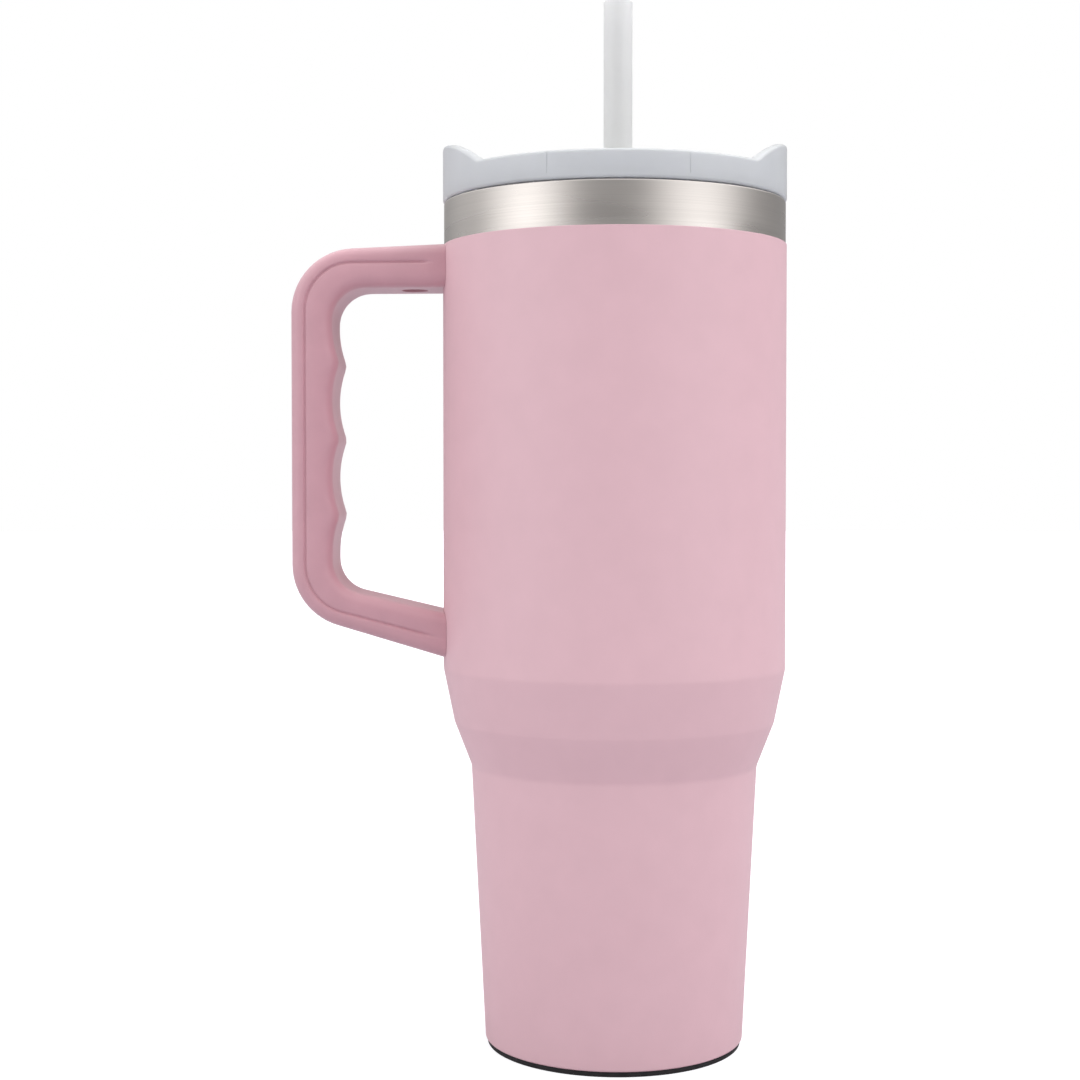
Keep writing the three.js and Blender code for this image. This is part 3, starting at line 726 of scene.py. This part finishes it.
LID_BOTTOM, LID_TOP, LID_WALL = 240.65, 248.3, 2.2
EAR_HEIGHT, EAR_FOOT = 7.7, 30.7
STRAW_X = 1.0
STRAW_RADIUS, STRAW_BORE, STRAW_BOTTOM, STRAW_TOP = 4.1, 3.4, 12.2, 298.2
STRAW_BOSS = 7.8
DECK_BOTTOM, DECK_TOP = 241.2, 243.2
PLUG, PLUG_INSIDE, PLUG_BOTTOM = 44.3, 40.8, 227.0
TRACK_FLOOR, TRACK_REAR, TRACK_FRONT = 239.3, 14.0, 43.0
TRAVEL = 16.0
SIP_Y = -35.5


def ear(y):
    """How high the thumb tabs stand over the lid's rim, at a distance along Y."""
    return EAR_HEIGHT * max(0, 1 - abs(y / EAR_FOOT) ** 3)


def raise_ears(x, y, z):
    return (x, y, z + ear(y)) if z > LID_TOP - 1.1 and math.hypot(x, y) > 46 else (x, y, z)


def track_outline(half, front, rear):
    """A strip across the lid, with a round front."""
    edge = math.degrees(math.acos(half / front))
    return [*arc((0, 0), front, -180 + edge, -edge, 40), (half, rear), (-half, rear)]


def build_lid():
    inside = BODY - LID_WALL
    outline = [
        (0, DECK_BOTTOM),
        (PLUG_INSIDE, DECK_BOTTOM, 0.6),
        (PLUG_INSIDE, PLUG_BOTTOM, 0.4),
        (PLUG - 0.8, PLUG_BOTTOM),
        (PLUG, PLUG_BOTTOM + 0.8, 0.3),
        (PLUG, 229.2, 0.15),
        (42.3, 229.2),
        (42.3, 233.8),
        (PLUG, 233.8, 0.15),
        (PLUG, LID_BOTTOM),
        (BODY, LID_BOTTOM, 0.9),
        (BODY, LID_TOP - 1.0),
        (BODY, LID_TOP, 0.8),
        (inside, LID_TOP, 0.6),
        (inside, LID_TOP - 1.0),
        (inside, DECK_TOP, 0.9),
        (0, DECK_TOP),
    ]
    made = lathe("lid_shell", rounded(outline, closed=False), 256, raise_ears)
    tray = prism("tray", track_outline(22.2, PLUG - 0.1, TRACK_REAR + 1.6), 237.7, DECK_TOP - 0.1, 0.4)
    boss_outline = rounded([(0, 233), (STRAW_BOSS, 233, 0.4), (STRAW_BOSS, 239), (0, 239)], closed=False)
    boss = place(lathe("boss", boss_outline, AROUND_SMALL), Matrix.Translation((STRAW_X, 0, 0)))
    carve(made, tray, boss, how="UNION")
    wide = prism("wide", track_outline(20.6, TRACK_FRONT, TRACK_REAR), TRACK_FLOOR, 242.2)
    throat = track_outline(18.9, TRACK_FRONT - 0.01, TRACK_REAR - 0.01)
    narrow = prism("narrow", throat, TRACK_FLOOR + 0.01, 246)
    brim = track_outline(19.3, TRACK_FRONT + 0.35, TRACK_REAR + 0.35)
    flare = prism("flare", brim, DECK_TOP - 0.3, 244, 0.29)
    mouth = prism("mouth", slot_outline(18, 8, SIP_Y), PLUG_BOTTOM, 246)
    bore = prism("bore", circle((STRAW_X, 0), 6.0), 230, 246)
    vent = prism("vent", circle((0, 28), 1.3, 24), DECK_BOTTOM - 1, DECK_TOP + 1)
    marks = []
    for side in (-1, 1):
        mark = prism(f"mark_{side + 1}", box_outline(-0.22, -49.5, 0.22, -48.85), 242.2, 250)
        marks.append(place(mark, Matrix.Rotation(math.radians(22.5 * side), 4, "Z")))
    carve(made, wide, narrow, flare, mouth, bore, vent, *marks)
    keep(made, "lid_body", "lid", LID)


def build_seals():
    low, high, root, tip = 229.5, 233.5, 43.6, 45.15
    outline = rounded(
        [
            (42.6, low, 0.2),
            (root, low, 0.2),
            (tip, low + 1.0, 0.3),
            (root, low + 2.0, 0.3),
            (tip, low + 3.0, 0.3),
            (root, high, 0.2),
            (42.6, high, 0.2),
        ]
    )
    keep(lathe("lid_ring_seal", outline), "lid_seal", "lid_ring", SILICONE)
    sleeve = rounded(
        [
            (4.35, 231.65, 0.2),
            (6.25, 231.65, 0.3),
            (6.85, 232.35, 0.3),
            (6.85, 232.85, 0.1),
            (5.85, 232.85),
            (5.85, 239.45),
            (7.2, 239.45, 0.1),
            (7.2, 240.15, 0.3),
            (6.7, 240.55, 0.3),
            (4.35, 240.55, 0.3),
        ]
    )
    made = place(lathe("straw_sleeve", sleeve, AROUND_SMALL), Matrix.Translation((STRAW_X, 0, 0)))
    keep(made, "straw_seal", "lid", SILICONE)
    pad = prism("sip_pad", slot_outline(21, 11, SIP_Y), 239.5, 240.5, 0.25, 0.1)
    keep(pad, "slider_seal", "lid_slider", SILICONE)


def build_slider():
    """A plate with a round front and a notch that straddles the straw, and a ridge to push."""
    half, front, rear, notch = 20.3, 42.7, -4.0, STRAW_BOSS
    edge = math.degrees(math.acos(half / front))
    outline = [
        *arc((0, 0), front, -180 + edge + 1.2, -edge - 1.2, 40),
        *arc((half - 1.2, rear - 1.2), 1.2, 0, 90, 5),
        *arc((STRAW_X + notch + 0.8, rear - 0.8), 0.8, 90, 180, 4),
        *arc((STRAW_X, -TRAVEL), notch, 0, -180, 28),
        *arc((STRAW_X - notch - 0.8, rear - 0.8), 0.8, 0, 90, 4),
        *arc((1.2 - half, rear - 1.2), 1.2, 90, 180, 5),
    ]
    pocket = (slot_outline(21.3, 11.3, SIP_Y), 239, 240.65)
    made = prism("sip_cover", outline, 239.6, 241.9, 0.2, 0.3, [pocket])
    grip_outline = rounded([(-11, -30, 1.4), (11, -30, 1.4), (11, -27, 1.4), (-11, -27, 1.4)], 6)
    grip = prism("grip", grip_outline, 241.0, 246.2, 0, 0.7, steps=5)
    carve(made, grip, how="UNION")
    keep(made, "slider", "lid_slider", SLIDER)


def build_straw():
    outline = [
        (STRAW_BORE, STRAW_BOTTOM, 0.2),
        (STRAW_RADIUS, STRAW_BOTTOM, 0.2),
        (STRAW_RADIUS, STRAW_TOP, 0.3),
        (STRAW_BORE, STRAW_TOP, 0.3),
    ]
    tube = lathe("straw_tube", rounded(outline, 4), AROUND_SMALL)
    made = place(tube, Matrix.Translation((STRAW_X, 0, 0)))
    keep(made, "straw", "drinking_straw", STRAW)


build_coat()
build_wall()
build_liner()
build_base()
build_handle()
build_lid()
build_seals()
build_slider()
build_straw()


# ---------------------------------------------------------------- floor, light and camera


def build_floor():
    """A pale floor that is lit from below like a light table, so that it runs into the white wall."""
    floor = lathe("floor", [(0, 0), (6000, 0), (6000, -20), (0, -20)], 96)
    finish = Finish("floor", (0.47, 0.47, 0.51), 0.8, Specular_IOR_Level=0.1)
    finish.mottle(finish.noise(300, detail=2), (0.46, 0.46, 0.50))
    path = finish.node("ShaderNodeLightPath")
    glow = finish.node("ShaderNodeMath", operation="MULTIPLY")
    glow.inputs[1].default_value = 0.7
    finish.link(path.outputs["Is Camera Ray"], glow.inputs[0])
    finish.shader.inputs["Emission Color"].default_value = (1, 1, 1, 1)
    finish.link(glow.outputs["Value"], finish.shader.inputs["Emission Strength"])
    floor.data.materials.append(finish.material)


class Studio:
    """A room with a dim even light and soft lamps that fade out at their edges."""

    def __init__(self, dim):
        world = bpy.data.worlds.new("studio")
        bpy.context.scene.world = world
        world.use_nodes = True
        self.nodes, self.links = world.node_tree.nodes, world.node_tree.links
        self.way = self.nodes.new("ShaderNodeTexCoord").outputs["Generated"]
        self.total = dim

    def vector(self, operation, one, two=None):
        made = self.nodes.new("ShaderNodeVectorMath")
        made.operation = operation
        self.links.new(one, made.inputs[0])
        if two is not None:
            made.inputs[1].default_value = two
        return made.outputs["Value" if operation == "DOT_PRODUCT" else "Vector"]

    def math(self, operation, one, two):
        """Works on a socket and a number or another socket."""
        made = self.nodes.new("ShaderNodeMath")
        made.operation = operation
        self.links.new(one, made.inputs[0])
        if isinstance(two, (int, float)):
            made.inputs[1].default_value = two
        else:
            self.links.new(two, made.inputs[1])
        return made.outputs["Value"]

    def lamp(self, azimuth, height, inner, outer, power, tall=1.0):
        """Adds light from round a direction that fades out between two angles. Degrees."""
        squashed = self.vector("NORMALIZE", self.vector("MULTIPLY", self.way, (1, 1, 1 / tall)))
        azimuth, height = math.radians(azimuth), math.radians(height)
        aim = Vector((math.sin(azimuth), -math.cos(azimuth), math.tan(height) / tall)).normalized()
        near = self.vector("DOT_PRODUCT", squashed, aim)
        fade = self.nodes.new("ShaderNodeMapRange")
        ends = (math.cos(math.radians(outer)), math.cos(math.radians(inner)))
        for socket, number in zip(("From Min", "From Max"), ends):
            fade.inputs[socket].default_value = number
        self.links.new(near, fade.inputs["Value"])
        soft = self.math("POWER", fade.outputs["Result"], 2)
        self.total = self.math("ADD", self.math("MULTIPLY", soft, power), self.total)

    def switch_on(self):
        """The room itself is only seen as plain white."""
        lit = self.nodes["Background"]
        lit.inputs["Color"].default_value = (1, 1, 1, 1)
        self.links.new(self.total, lit.inputs["Strength"])
        white = self.nodes.new("ShaderNodeBackground")
        white.inputs["Color"].default_value = (1, 1, 1, 1)
        path, mix = self.nodes.new("ShaderNodeLightPath"), self.nodes.new("ShaderNodeMixShader")
        self.links.new(path.outputs["Is Camera Ray"], mix.inputs[0])
        self.links.new(lit.outputs[0], mix.inputs[1])
        self.links.new(white.outputs[0], mix.inputs[2])
        self.links.new(mix.outputs[0], self.nodes["World Output"].inputs["Surface"])


def build_light():
    studio = Studio(0.37)
    studio.lamp(-62, 8, 0, 46, 1.74, tall=1.8)
    studio.lamp(57, 8, 0, 46, 1.68, tall=1.8)
    studio.lamp(-120, 45, 0, 50, 1.2)
    studio.lamp(108, 58, 0, 46, 2.6)
    studio.lamp(0, 60, 0, 50, 0.6)
    studio.lamp(0, 89, 20, 70, 0.6)
    studio.switch_on()


def build_camera():
    camera = bpy.data.cameras.new("camera")
    camera.lens, camera.sensor_width = 63.0, 36
    made = bpy.data.objects.new("camera", camera)
    made.location = (-0.0129, -0.544, 0.1607)
    aim = Vector((-0.0213, 0, 0.1446)) - made.location
    made.rotation_euler = aim.to_track_quat("-Z", "Y").to_euler()
    bpy.context.scene.collection.objects.link(made)
    bpy.context.scene.camera = made


build_floor()
build_light()
build_camera()
bpy.context.scene.view_settings.view_transform = "Standard"
